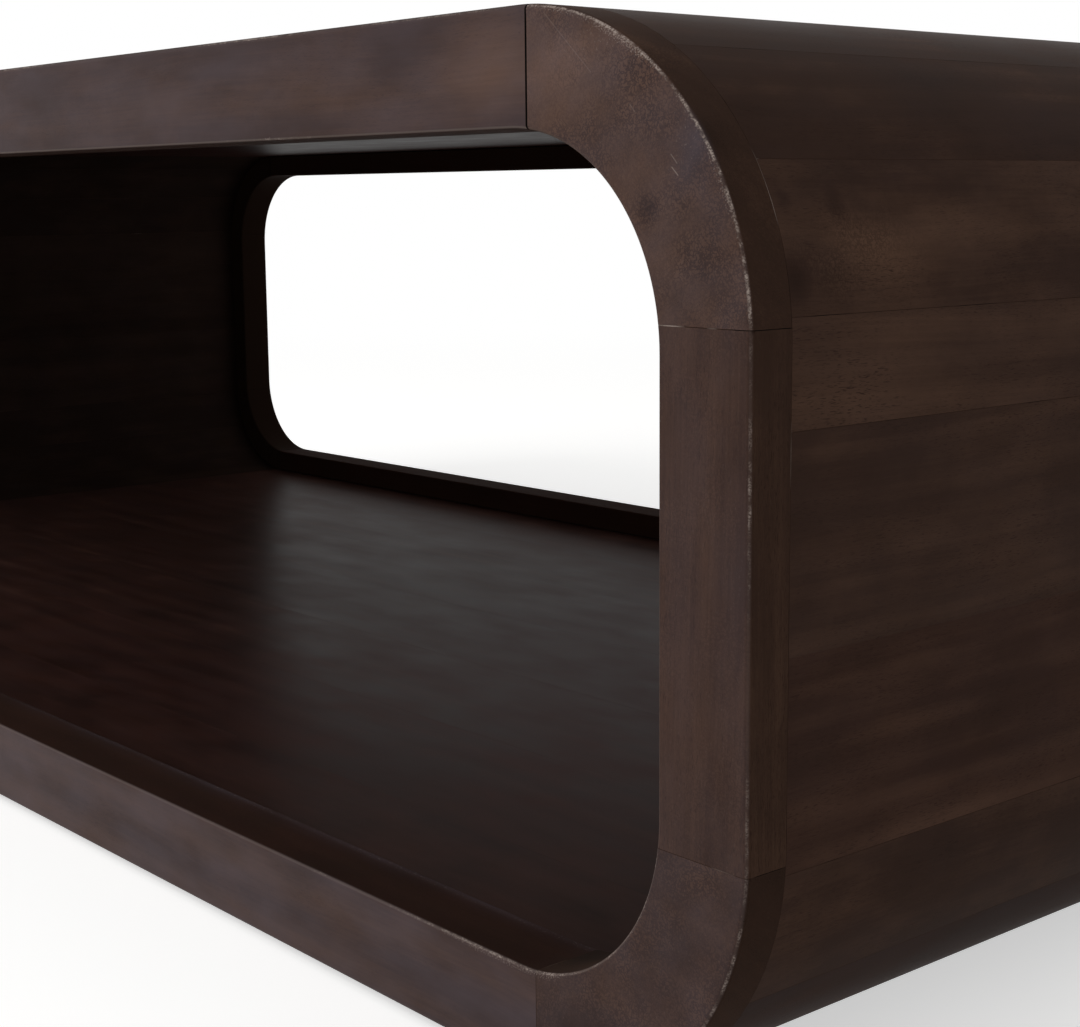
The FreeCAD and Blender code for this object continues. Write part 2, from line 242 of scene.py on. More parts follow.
def stained_hardwood():
    """Open-pored tropical hardwood under an espresso stain and satin lacquer, grain along X, in mm.

    The stain takes unevenly: rings and streaks run with the grain, cloudy patches lie over them, and
    pores show as short dark dashes.
    """
    name = "stained hardwood"
    if name in bpy.data.node_groups:
        return bpy.data.node_groups[name]
    inputs = {"Place": None, "Tone": 0.0, "Figure": 1.0, "Streaks": 1.0, "Clouds": 1.0, "Pores": 1.0,
              "Flecks": 0.0, "Curls": 0.0, "Bloom_and_sheen": 0.0, "Redness": 0.0, "Dullness": 0.34, "Relief": 1.0}
    outputs = {"Stain": "NodeSocketColor", "Roughness": "NodeSocketFloat", "Height": "NodeSocketFloat"}
    tree, given, result = new_group(name, inputs, outputs)
    finish = bpy.context.scene.coffee_table_finish
    place = given["Place"]

    # slow wander of the rings, about 160 mm long and up to 3 mm wide
    drift = stretched_noise(tree, place, (0.006, 0.02, 0.02), 0.0, take="Color")
    drift = add(tree, "ShaderNodeVectorMath", {0: drift, 1: (0.5, 0.5, 0.5)}, operation="SUBTRACT")
    drift = add(tree, "ShaderNodeVectorMath", {0: drift, 1: (0.0, 11.0, 11.0)}, operation="MULTIPLY")
    wandering = add(tree, "ShaderNodeVectorMath", {0: place, 1: drift}, operation="ADD")

    # growth rings round a pith that lies outside the board, 5 to 15 mm apart
    across = add(tree, "ShaderNodeVectorMath", {0: wandering, 1: (0.0, 1.0, 1.0)}, operation="MULTIPLY")
    reach = add(tree, "ShaderNodeVectorMath", {0: across}, take="Value", operation="LENGTH")
    reach = add(tree, "ShaderNodeMath", {0: reach, 1: 0.11}, operation="MULTIPLY")
    rings = add(tree, "ShaderNodeTexNoise", {"W": reach, "Scale": 1.0, "Detail": 1.5}, noise_dimensions="1D")

    # streaks that follow the fibres, about 1 mm wide and 40 mm long
    streaks = stretched_noise(tree, wandering, (0.025, 0.9, 0.9), 4.0)

    # cloudy patches where the stain soaked in more or less, 40 to 90 mm long
    clouds = stretched_noise(tree, place, (0.016, 0.03, 0.03), 5.0, roughness=0.6)

    # pores: dashes about 0.3 mm wide and 2 mm long, more of them in some patches than in others
    pores = stretched_noise(tree, wandering, (0.42, 4.2, 4.2), 0.0)
    pores = add(tree, "ShaderNodeMapRange", {"Value": pores, 1: 0.6, 2: 0.75, 3: 0.0, 4: 1.0})
    grouped = stretched_noise(tree, place, (0.02, 0.07, 0.07), 1.0)
    grouped = add(tree, "ShaderNodeMapRange", {"Value": grouped, 1: 0.4, 2: 0.62, 3: 0.25, 4: 1.0})
    pores = joined(tree, (pores, grouped, given["Pores"]), "MULTIPLY")

    # dust and rubbed specks in the lacquer, about half a millimetre across
    flecks = stretched_noise(tree, place, (0.7, 1.6, 1.6), 2.0)
    flecks = add(tree, "ShaderNodeMapRange", {"Value": flecks, 1: 0.62, 2: 0.78, 3: 0.0, 4: 0.4})
    flecks = add(tree, "ShaderNodeMath", {0: flecks, 1: given["Flecks"]}, operation="MULTIPLY")

    # curled grain where the fibres dive into the face: thin dark loops 1 to 2 mm across, in some patches
    curls = add(tree, "ShaderNodeTexNoise", {"Vector": place, "Scale": 0.7, "Detail": 2.0})
    curls = add(tree, "ShaderNodeMath", {0: swing(tree, curls)}, operation="ABSOLUTE")
    curls = add(tree, "ShaderNodeMapRange", {"Value": curls, 1: 0.02, 2: 0.1, 3: -1.0, 4: 0.6})
    looped = add(tree, "ShaderNodeTexNoise", {"Vector": place, "Scale": 0.06, "Detail": 2.0})
    looped = add(tree, "ShaderNodeMapRange", {"Value": looped, 1: 0.42, 2: 0.62, 3: 0.3, 4: 1.0})
    curls = joined(tree, (curls, looped, given["Curls"]), "MULTIPLY")

    figure = swing(tree, rings, given["Figure"])
    patch = swing(tree, clouds, given["Clouds"])
    streak = swing(tree, streaks, given["Streaks"])
    shade = weighted(tree, 0.5, (figure, 1.1), (patch, 0.9), (streak, 0.55), (given["Tone"], 1.0),
                     (pores, -0.3), (curls, 0.11))
    stain = ramp(add(tree, "ShaderNodeValToRGB", {0: shade}), (
        (0.12, (*finish.stain_dark, 1.0)),
        (0.5, (*finish.stain_middle, 1.0)),
        (1.0, (*finish.stain_light, 1.0)),
    ))

    # over the stain: its red brown, a faint milkiness in soft mottles 8 to 40 mm long, and the specks; where
    # pieces raise the milkiness and the red brown in places, these are partly painted sheen
    red = joined(tree, (clouds, given["Redness"], 2.0), "MULTIPLY")
    milky_and_sheen = stretched_noise(tree, place, (0.025, 0.07, 0.07), 3.0)
    milky_and_sheen = add(tree, "ShaderNodeMapRange", {"Value": milky_and_sheen, 1: 0.3, 2: 0.7, 3: 0.6, 4: 1.4})
    milky_and_sheen = add(tree, "ShaderNodeMath", {0: milky_and_sheen, 1: given["Bloom_and_sheen"]}, operation="MULTIPLY")
    for share, veil in ((red, finish.red_stain_and_sheen), (milky_and_sheen, finish.lacquer_bloom_and_sheen), (flecks, finish.worn_wood_and_highlight)):
        stain = add(tree, "ShaderNodeMix", {0: share, 6: stain, 7: (*veil, 1.0)}, take=2, data_type="RGBA")
    tree.links.new(stain, result["Stain"])

    gloss = weighted(tree, given["Dullness"], (swing(tree, clouds), 0.22), (streak, 0.3), (pores, 0.15))
    gloss = add(tree, "ShaderNodeMath", {0: gloss, 1: SATIN}, operation="MAXIMUM")
    tree.links.new(gloss, result["Roughness"])

    height = weighted(tree, 0.0, (streaks, 0.35), (pores, -1.0))
    height = add(tree, "ShaderNodeMath", {0: height, 1: given["Relief"]}, operation="MULTIPLY")
    tree.links.new(height, result["Height"])
    return tree


def distance_outside(tree, place, half_x, half_z, radius):
    """How far a place, mirrored into the upper right quarter in mm, lies outside a rounded rectangle."""
    corner = ((half_x - radius) / MM, 0.0, (half_z - radius) / MM)
    past = add(tree, "ShaderNodeVectorMath", {0: place, 1: corner}, operation="SUBTRACT")
    past = add(tree, "ShaderNodeVectorMath", {0: past, 1: (0.0, 0.0, 0.0)}, operation="MAXIMUM")
    reach = add(tree, "ShaderNodeVectorMath", {0: past}, take="Value", operation="LENGTH")
    return add(tree, "ShaderNodeMath", {0: reach, 1: radius / MM}, operation="SUBTRACT")


# radii of the frames' rounded arrises in mm, and the most wear that any point of them shows
OUTER_ARRIS = 2.0
INNER_ARRIS = 1.5
MOST_WEAR = 0.95
# the crest of a rounded arris lies this share of its radius in from both of its faces
CREST_SHARE = 0.29


def rubbed_arrises():
    """Where hands and cloths have rubbed the stain off the frames' arrises, from 0 to 1."""
    name = "rubbed arrises"
    if name in bpy.data.node_groups:
        return bpy.data.node_groups[name]
    inputs = {"Place": None, "Rubbing": 0.0, "Opening": 0.5}
    tree, given, result = new_group(name, inputs, {"Wear": "NodeSocketFloat"})
    shape = bpy.context.scene.coffee_table_shape
    place = given["Place"]
    centre = (0.0, 0.0, MID_HEIGHT / MM)
    mirrored = add(tree, "ShaderNodeVectorMath", {0: place, 1: centre}, operation="SUBTRACT")
    mirrored = add(tree, "ShaderNodeVectorMath", {0: mirrored}, operation="ABSOLUTE")
    behind = add(tree, "ShaderNodeSeparateXYZ", {0: mirrored}, take="Y")
    behind = add(tree, "ShaderNodeMath", {0: HALF_DEPTH / MM, 1: behind}, operation="SUBTRACT")
    behind = add(tree, "ShaderNodeMath", {0: behind}, operation="ABSOLUTE")
    flat = add(tree, "ShaderNodeVectorMath", {0: mirrored, 1: (1.0, 0.0, 1.0)}, operation="MULTIPLY")
    outer = distance_outside(tree, flat, HALF_LENGTH, HALF_HEIGHT, shape.outer_radius)
    opening_x, opening_z = HALF_LENGTH - shape.frame_width, HALF_HEIGHT - shape.frame_width
    inner = distance_outside(tree, flat, opening_x, opening_z, shape.inner_radius)

    # rubbing comes in patches 60 mm long, with breaks every 4 mm, and is gritty below a millimetre
    patches = add(tree, "ShaderNodeTexNoise", {"Vector": place, "Scale": 0.016, "Detail": 1.0})
    patches = add(tree, "ShaderNodeMapRange", {"Value": patches, 1: 0.45, 2: 0.7, 3: 0.0, 4: 0.7})
    patches = add(tree, "ShaderNodeMath", {0: patches, 1: given["Rubbing"]}, operation="ADD")
    patches = add(tree, "ShaderNodeMath", {0: patches, 1: 1.3}, operation="MINIMUM")
    breaks = add(tree, "ShaderNodeTexNoise", {"Vector": place, "Scale": 0.25, "Detail": 2.0})
    breaks = add(tree, "ShaderNodeMapRange", {"Value": breaks, 1: 0.36, 2: 0.62, 3: 0.1, 4: 1.2})
    grit = add(tree, "ShaderNodeTexNoise", {"Vector": place, "Scale": 1.7, "Detail": 2.0})
    rough = add(tree, "ShaderNodeMapRange", {"Value": grit, 1: 0.4, 2: 0.6, 3: 0.15, 4: 1.1})
    crest_wear = joined(tree, (patches, breaks, rough), "MULTIPLY")
    band_wear = weighted(tree, grit, (patches, 0.3))

    # the crest runs along the middle of the rounded arris, and a gritty band lies beside it on the face
    worn = []
    arrises = ((outer, OUTER_ARRIS, 1.0, 0.04), (inner, INNER_ARRIS, given["Opening"], 0.25))
    for edge, arris, strength, least in arrises:
        sideways = add(tree, "ShaderNodeMath", {0: edge}, operation="ABSOLUTE")
        off = []
        for reach in (sideways, behind):
            past = add(tree, "ShaderNodeMath", {0: reach, 1: arris * CREST_SHARE}, operation="SUBTRACT")
            off.append(add(tree, "ShaderNodeMath", {0: past}, operation="ABSOLUTE"))
        away = joined(tree, off, "ADD")
        crest = add(tree, "ShaderNodeMapRange", {"Value": away, 1: 0.95, 2: 0.35, 3: 0.0, 4: strength})
        rubbed = add(tree, "ShaderNodeMath", {0: crest_wear, 1: least}, operation="MAXIMUM")
        away = weighted(tree, sideways, (behind, 3.0))
        inputs = {"Value": away, 1: arris + 3.0, 2: arris - 1.0, 3: -0.4, 4: 0.0}
        band = add(tree, "ShaderNodeMapRange", inputs)
        band = add(tree, "ShaderNodeMath", {0: band, 1: band_wear}, operation="ADD")
        band = add(tree, "ShaderNodeMapRange", {"Value": band, 1: 0.78, 2: 0.96, 3: 0.0, 4: 0.6})
        worn += (joined(tree, (crest, rubbed), "MULTIPLY"), joined(tree, (band, strength), "MULTIPLY"))
    most = joined(tree, worn, "MAXIMUM")
    tree.links.new(add(tree, "ShaderNodeMath", {0: most, 1: MOST_WEAR}, operation="MINIMUM"), result["Wear"])
    return tree


def marks(tree, place, spots):
    """Adds up soft oval marks on the wood: centre and reach in mm, and strength, below zero for dark."""
    near = []
    for centre, reach, strength in spots:
        off = add(tree, "ShaderNodeVectorMath", {0: place, 1: centre}, operation="SUBTRACT")
        off = add(tree, "ShaderNodeVectorMath", {0: off, 1: reach}, operation="DIVIDE")
        off = add(tree, "ShaderNodeVectorMath", {0: off}, take="Value", operation="LENGTH")
        inputs = {"Value": off, 1: 1.0, 2: 0.0, 3: 0.0, 4: strength}
        near.append(add(tree, "ShaderNodeMapRange", inputs, interpolation_type="SMOOTHSTEP"))
    return joined(tree, near, "ADD")


def scratches(tree, place, lines):
    """Fine straight scratches on a front face: X and Z of both ends in mm, and strength."""
    drawn = []
    for start_x, start_z, end_x, end_z, strength in lines:
        run = Vector((end_x - start_x, 0.0, end_z - start_z))
        off = add(tree, "ShaderNodeVectorMath", {0: place, 1: (start_x, 0.0, start_z)}, operation="SUBTRACT")
        off = add(tree, "ShaderNodeVectorMath", {0: off, 1: (1.0, 0.0, 1.0)}, operation="MULTIPLY")
        inputs = {0: off, 1: tuple(run / run.length_squared)}
        share = add(tree, "ShaderNodeVectorMath", inputs, take="Value", operation="DOT_PRODUCT")
        share = add(tree, "ShaderNodeMapRange", {"Value": share, 1: 0.0, 2: 1.0, 3: 0.0, 4: 1.0})
        foot = add(tree, "ShaderNodeVectorMath", {0: tuple(run), "Scale": share}, operation="SCALE")
        away = add(tree, "ShaderNodeVectorMath", {0: off, 1: foot}, take="Value", operation="DISTANCE")
        # a scratch fades out between 0.08 and 0.24 mm from its line
        drawn.append(add(tree, "ShaderNodeMapRange", {"Value": away, 1: 0.24, 2: 0.08, 3: 0.0, 4: strength}))
    return joined(tree, drawn, "MAXIMUM")


def fresh_material(name):
    """A material by its name, and its tree where it is new and still has to be made."""
    if name in bpy.data.materials:
        return bpy.data.materials[name], None
    material = bpy.data.materials.new(name)
    material.use_nodes = True
    material.node_tree.nodes.clear()
    return material, material.node_tree


def close_material(tree, relief, inputs):
    """Ends a material with its shader and its output: relief is a height, a strength and a depth in mm."""
    height, strength, depth = relief
    dents = {"Height": height, "Strength": strength, "Distance": depth * MM}
    bump = add(tree, "ShaderNodeBump", dents, take="Normal")
    shader = add(tree, "ShaderNodeBsdfPrincipled", {**inputs, "Normal": bump})
    add(tree, "ShaderNodeOutputMaterial", {"Surface": shader})


# how far behind the front the looks of a frame's face begin, and where they are full, in mm
FACE_BEGINS = 1.5
FACE_FULL = 0.1
# each log takes the pattern this many mm further on
LOG_STEP = 531.0
# its pith lies outside the board: the least distance in mm, the step from log to log, and their span
PITH_Y = (70.0, 37, 90)
PITH_Z = (40.0, 53, 70)


def wood_material(node, turn, log=None, specular=0.034, face=None, spots=None, rubbed=(), opening=0.3,
                  scratched=(), **grain_shares):
    """The stained hardwood of one piece: turn brings its grain onto X.

    The log is the piece whose plank it shares. Face and spots add to the grain's shares by their names: the
    one on the frames' outward faces, where it paints light and sheen, the other in places. Opening is how far
    the inner arrises are worn.
    """
    material, tree = fresh_material(f"stained hardwood {node}")
    low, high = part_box(log or node)
    number = sorted(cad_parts).index(log or node)
    pith = [number * LOG_STEP, *(least + number * step % span for least, step, span in (PITH_Y, PITH_Z))]
    where = place_in_mm(tree)
    centred = add(tree, "ShaderNodeVectorMath", {0: where, 1: -(low + high) / 2 / MM}, operation="ADD")
    grain = add(tree, "ShaderNodeMapping", {"Vector": centred, "Rotation": turn, "Location": pith})
    shares = {label.capitalize(): share for label, share in grain_shares.items()}
    wood = add(tree, "ShaderNodeGroup", {"Place": grain, **shares}, node_tree=stained_hardwood()).node
    extra = {label: marks(tree, where, places) for label, places in (spots or {}).items()}
    # the front face gets painted light and sheen: it is lighter and milkier than the piece's other faces
    if face:
        outward = add(tree, "ShaderNodeSeparateXYZ", {0: where}, take="Y")
        outward = add(tree, "ShaderNodeMath", {0: outward}, operation="ABSOLUTE")
        begins, full = HALF_DEPTH / MM - FACE_BEGINS, HALF_DEPTH / MM - FACE_FULL
        outward = add(tree, "ShaderNodeMapRange", {"Value": outward, 1: begins, 2: full, 3: 0.0, 4: 1.0})
        for label, share in face.items():
            extra[label] = weighted(tree, extra.get(label, 0.0), (outward, share))
    for label, total in extra.items():
        share = wood.inputs[label.capitalize()]
        tree.links.new(joined(tree, (total, share.default_value), "ADD"), share)
    rubbing = {"Rubbing": marks(tree, where, rubbed)} if rubbed else {}
    rubbing.update({"Place": where, "Opening": opening})
    worn = add(tree, "ShaderNodeGroup", rubbing, node_tree=rubbed_arrises())
    if scratched:
        worn = joined(tree, (worn, scratches(tree, where, scratched)), "MAXIMUM")
    inputs = {0: worn, 6: wood.outputs["Stain"], 7: (*bpy.context.scene.coffee_table_finish.worn_wood_and_highlight, 1.0)}
    colours = add(tree, "ShaderNodeMix", inputs, take=2, data_type="RGBA")
    gloss = weighted(tree, wood.outputs["Roughness"], (worn, 0.2))
    close_material(tree, (wood.outputs["Height"], 0.5, 0.08), {
        "Base Color": colours,
        "Roughness": gloss,
        "IOR": 1.45,
        "Specular IOR Level": specular,
        "Specular Tint": (1.0, 0.9, 0.9, 1.0),
    })
    return material


def seam_material(kind):
    """Stain gathered in the seams' fine grooves: matt and nearly black, or pale in places, partly as rubbed
    stain and partly as painted highlight and painted light over the groove's shade.
    """
    material, tree = fresh_material(f"gathered stain {kind}")
    if tree is None:
        return material
    finish = bpy.context.scene.coffee_table_finish
    clean, wiped_and_lit_places = SEAMS[kind]
    where = place_in_mm(tree)
    # wiped stretches are 20 to 40 mm long
    wiped_and_lit = add(tree, "ShaderNodeTexNoise", {"Vector": where, "Scale": 0.03, "Detail": 4.0})
    # the marks paint some seams pale, as a painted highlight along the seam's edge and painted light over the
    # groove's shade, and darken them below zero
    wiped_and_lit = joined(tree, (wiped_and_lit, clean, marks(tree, where, wiped_and_lit_places)), "ADD")
    colours = ramp(add(tree, "ShaderNodeValToRGB", {0: wiped_and_lit}), (
        (0.4, (*finish.seam_dirt, 1.0)),
        (0.52, (*finish.stain_middle, 1.0)),
        (0.72, (*finish.stain_middle, 1.0)),
        (1.0, (*finish.worn_wood_and_highlight, 1.0)),
    ))
    inputs = {"Base Color": colours, "Roughness": 0.8, "Specular IOR Level": 0.02}
    add(tree, "ShaderNodeOutputMaterial", {"Surface": add(tree, "ShaderNodeBsdfPrincipled", inputs)})
    return material


def beech_material():
    """Bare beech dowels: pinkish tan, close grained, with short dark flecks along the fibres."""
    material, tree = fresh_material("bare beech")
    where = add(tree, "ShaderNodeTexCoord", take="Object")
    # flecks 3 mm long and 0.3 mm wide, along the dowels that lie along X
    fibres = stretched_noise(tree, where, (300.0, 3000.0, 3000.0), 2.0)
    colours = ramp(add(tree, "ShaderNodeValToRGB", {0: fibres}), (
        (0.35, colour("#A9835C")),
        (0.5, colour("#C8A47C")),
        (0.75, colour("#D8BA94")),
    ))
    close_material(tree, (fibres, 0.3, 0.05), {"Base Color": colours, "Roughness": 0.65, "IOR": 1.45})
    return material


def plywood_material():
    """Bare birch plywood splines: pale plies 1.5 mm thick, every second one end grain and darker."""
    material, tree = fresh_material("bare birch plywood")
    where = add(tree, "ShaderNodeTexCoord", take="Object")
    inputs = {"Vector": where, "Scale": 105.0, "Distortion": 0.4, "Detail": 1.0}
    plies = add(tree, "ShaderNodeTexWave", inputs, bands_direction="DIAGONAL")
    grain = stretched_noise(tree, where, (2500.0, 250.0, 2500.0), 2.0)
    colours = ramp(add(tree, "ShaderNodeValToRGB", {0: weighted(tree, plies, (grain, 0.4))}), (
        (0.25, colour("#A98558")),
        (0.6, colour("#D0B284")),
        (1.0, colour("#E0C79C")),
    ))
    close_material(tree, (grain, 0.3, 0.05), {"Base Color": colours, "Roughness": 0.7, "IOR": 1.45})
    return material


def nylon_material():
    """Moulded brown nylon glides: half matt, with a fine orange peel from the mould."""
    material, tree = fresh_material("moulded nylon")
    where = add(tree, "ShaderNodeTexCoord", take="Object")
    peel = add(tree, "ShaderNodeTexNoise", {"Vector": where, "Scale": 1800.0, "Detail": 2.0})
    scuffs = add(tree, "ShaderNodeTexNoise", {"Vector": where, "Scale": 260.0, "Detail": 4.0})
    colours = ramp(add(tree, "ShaderNodeValToRGB", {0: scuffs}), (
        (0.4, colour("#35291F")),
        (0.7, colour("#4A3B30")),
    ))
    rough = weighted(tree, 0.35, (scuffs, 0.3))
    close_material(tree, (peel, 0.25, 0.05), {"Base Color": colours, "Roughness": rough, "IOR": 1.53})
    return material


def steel_material():
    """Bright drawn steel of the glide nails, with the faint dents of the heading die."""
    material, tree = fresh_material("drawn steel")
    where = add(tree, "ShaderNodeTexCoord", take="Object")
    dents = add(tree, "ShaderNodeTexNoise", {"Vector": where, "Scale": 900.0, "Detail": 3.0})
    colours = ramp(add(tree, "ShaderNodeValToRGB", {0: dents}), (
        (0.35, colour("#9A9B9E")),
        (0.6, colour("#C6C7C9")),
    ))
    rough = weighted(tree, 0.22, (dents, 0.25))
    close_material(tree, (dents, 0.2, 0.05), {"Base Color": colours, "Metallic": 1.0, "Roughness": rough})
    return material


def dress(node, material):
    """Gives a piece its material."""
    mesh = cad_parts[node].data
    mesh.materials.clear()
    mesh.materials.append(material)


def placed(name, data):
    """An object with its data, in the scene and at the origin."""
    piece = bpy.data.objects.new(name, data)
    bpy.context.scene.collection.objects.link(piece)
    return piece


def mesh_of(name, form, smooth=True):
    """The mesh of a form, which is freed."""
    for face in form.faces:
        face.smooth = smooth
    mesh = bpy.data.meshes.new(name)
    form.to_mesh(mesh)
    form.free()
    return mesh


# points closer than this are one point, and faces within this angle are one face
WELD = 0.001 * MM
FLAT_ANGLE = math.radians(0.3)
# edges sharper than this are sawn, and those on a hidden seam lie within this height of it
SAWN_ANGLE = math.radians(40)
SEAM_NEAR = 0.1 * MM
# a point further off the wood than this share of the easing has been thrown off by it
THROWN_OFF = 0.55
LATHE_STEPS = 48


def eased(node, material, ease, seams, hidden_seam=None):
    """Stands for a piece by its own form with the sawn edges eased, so that each seam is a fine groove.

    A hidden seam is the height at which the piece matches its neighbour so well that no groove shows.
    """
    form = bmesh.new()
    form.from_mesh(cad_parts[node].data)
    bmesh.ops.remove_doubles(form, verts=form.verts, dist=WELD)
    wood = BVHTree.FromBMesh(form)
    bmesh.ops.dissolve_limit(form, angle_limit=FLAT_ANGLE, verts=form.verts, edges=form.edges)
    sawn = [edge for edge in form.edges if edge.is_convex and edge.calc_face_angle(0.0) > SAWN_ANGLE]
    if hidden_seam is not None:
        sawn = [edge for edge in sawn if any(abs(end.co.z - hidden_seam) > SEAM_NEAR for end in edge.verts)]
    bmesh.ops.bevel(form, geom=sawn, offset=ease, segments=2, profile=0.5, material=1,
                    affect="EDGES", clamp_overlap=False)
    # a point that the easing has thrown off at a crowded corner goes back onto the wood
    for vertex in form.verts:
        nearest, _, _, reach = wood.find_nearest(vertex.co)
        if reach > THROWN_OFF * ease:
            vertex.co = nearest
    piece = placed(f"{node}_eased", mesh_of(f"{node}_eased", form))
    piece.data.materials.append(material)
    piece.data.materials.append(seam_material(seams))
    normals = piece.modifiers.new("flat faces stay flat", "WEIGHTED_NORMAL")
    normals.keep_sharp = True
    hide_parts(node)
    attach(piece, "root")
    return piece


def lathed(name, profile):
    """An object turned from a profile of distance from the axis and height, standing on the origin's axis."""
    form = bmesh.new()
    points = [form.verts.new((reach, 0.0, height)) for reach, height in profile]
    lines = [form.edges.new(pair) for pair in zip(points, points[1:])]
    bmesh.ops.spin(form, geom=points + lines, cent=(0, 0, 0), axis=(0, 0, 1), angle=2 * math.pi,
                   steps=LATHE_STEPS)
    bmesh.ops.remove_doubles(form, verts=form.verts, dist=WELD)
    bmesh.ops.recalc_face_normals(form, faces=form.faces)
    return placed(name, mesh_of(name, form))


def glide_rows():
    """Geometry Nodes that set a piece out in even rows along X and Y."""
    name = "glide rows"
    if name in bpy.data.node_groups:
        return bpy.data.node_groups[name]
    tree = bpy.data.node_groups.new(name, "GeometryNodeTree")
    for label, kind in (("Geometry", "NodeSocketGeometry"), ("Length", "NodeSocketFloat"),
                        ("Depth", "NodeSocketFloat"), ("Along", "NodeSocketInt"), ("Across", "NodeSocketInt"),
                        ("Material", "NodeSocketMaterial")):
        tree.interface.new_socket(label, in_out="INPUT", socket_type=kind)
    tree.interface.new_socket("Geometry", in_out="OUTPUT", socket_type="NodeSocketGeometry")
    given = tree.nodes.new("NodeGroupInput").outputs
    rows = {"Size X": given["Length"], "Size Y": given["Depth"], "Vertices X": given["Along"],
            "Vertices Y": given["Across"]}
    places = add(tree, "GeometryNodeMeshGrid", rows)
    pieces = add(tree, "GeometryNodeInstanceOnPoints", {"Points": places, "Instance": given["Geometry"]})
    pieces = add(tree, "GeometryNodeRealizeInstances", {0: pieces})
    pieces = add(tree, "GeometryNodeSetMaterial", {"Geometry": pieces, "Material": given["Material"]})
    add(tree, "NodeGroupOutput", {0: pieces})
    return tree


def repeated(piece, node, material):
    """Repeats one piece in the glides' rows, three by two, and stands for the node that holds them all."""
    low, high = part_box(node)
    reach = max(vertex.co.x for vertex in piece.data.vertices)
    rows = piece.modifiers.new("rows", "NODES")
    rows.node_group = glide_rows()
    values = {"Length": high.x - low.x - 2 * reach, "Depth": high.y - low.y - 2 * reach,
              "Along": 3, "Across": 2, "Material": material}
    for item in rows.node_group.interface.items_tree:
        if item.in_out == "INPUT" and item.name in values:
            rows[item.identifier] = values[item.name]
    bpy.context.view_layer.update()
    whole = bpy.data.meshes.new_from_object(piece.evaluated_get(bpy.context.evaluated_depsgraph_get()))
    piece.modifiers.clear()
    piece.data = whole
    whole.materials.clear()
    whole.materials.append(material)
    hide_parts(node)
    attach(piece, "root")
    return piece


# turns that bring each run of the grain onto X
GRAIN_X = (0.0, 0.0, 0.0)
GRAIN_Y = (0.0, 0.0, -RIGHT_ANGLE)
GRAIN_Z = (0.0, RIGHT_ANGLE, 0.0)
GRAIN_ASKEW = (0.0, RIGHT_ANGLE / 2, RIGHT_ANGLE / 2)

# How each kind of piece takes the stain, and then what sets some pieces and groups of pieces apart.
# Marks have a centre and a reach in mm, and a strength; scratches have X and Z of both ends, and a strength.
CHARACTERS = {
    # each frame's front face is painted lighter and milkier than its other faces, as painted light and sheen
    # from the front; the rail's darker tone on its other faces is painted shade
    "rail": {"turn": GRAIN_X, "tone": -0.3, "figure": 0.2, "clouds": 0.5, "pores": 0.3, "streaks": 0.35,
             "redness": 0.15, "dullness": 0.78, "opening": 1.0, "ease": 2.2,
             "face": {"tone": 0.34, "bloom_and_sheen": 0.13, "redness": -0.12, "dullness": -0.36}},
    "stile": {"turn": GRAIN_Z, "tone": 0.03, "figure": 0.2, "clouds": 0.6, "pores": 0.6, "streaks": 0.35,
              "flecks": 0.04, "curls": 0.12, "dullness": 0.78, "ease": 0.3,
              "face": {"tone": 0.07, "bloom_and_sheen": 0.06, "redness": 0.08, "dullness": -0.36, "curls": 0.35,
                       "flecks": 0.06}},
    "corner_block": {"turn": GRAIN_ASKEW, "tone": -0.02, "figure": 0.15, "clouds": 0.65, "streaks": 0.3,
                     "flecks": 0.05, "curls": 0.25, "pores": 0.5, "dullness": 0.78, "ease": 0.5,
                     "face": {"tone": 0.2, "bloom_and_sheen": 0.09, "redness": 0.05, "dullness": -0.36, "curls": 1.15,
                              "flecks": 0.1}},
    "board": {"turn": GRAIN_X, "tone": -0.12, "figure": 0.3, "streaks": 0.1, "clouds": 1.1, "pores": 0.0,
              "redness": 0.3, "bloom_and_sheen": 0.02, "specular": 0.0072, "dullness": 0.34, "relief": 0.0,
              "ease": 0.4},
    "side_board": {"turn": GRAIN_Y, "tone": 0.03, "figure": 0.2, "streaks": 0.28, "clouds": 0.5, "pores": 0.5,
                   "bloom_and_sheen": 0.014, "specular": 0.009, "dullness": 0.42, "ease": 0.8},
    "stave": {"turn": GRAIN_Y, "tone": 0.03, "figure": 0.13, "streaks": 0.25, "clouds": 0.7, "pores": 0.4,
              "bloom_and_sheen": 0.014, "specular": 0.007, "dullness": 0.42, "ease": 0.8},
}
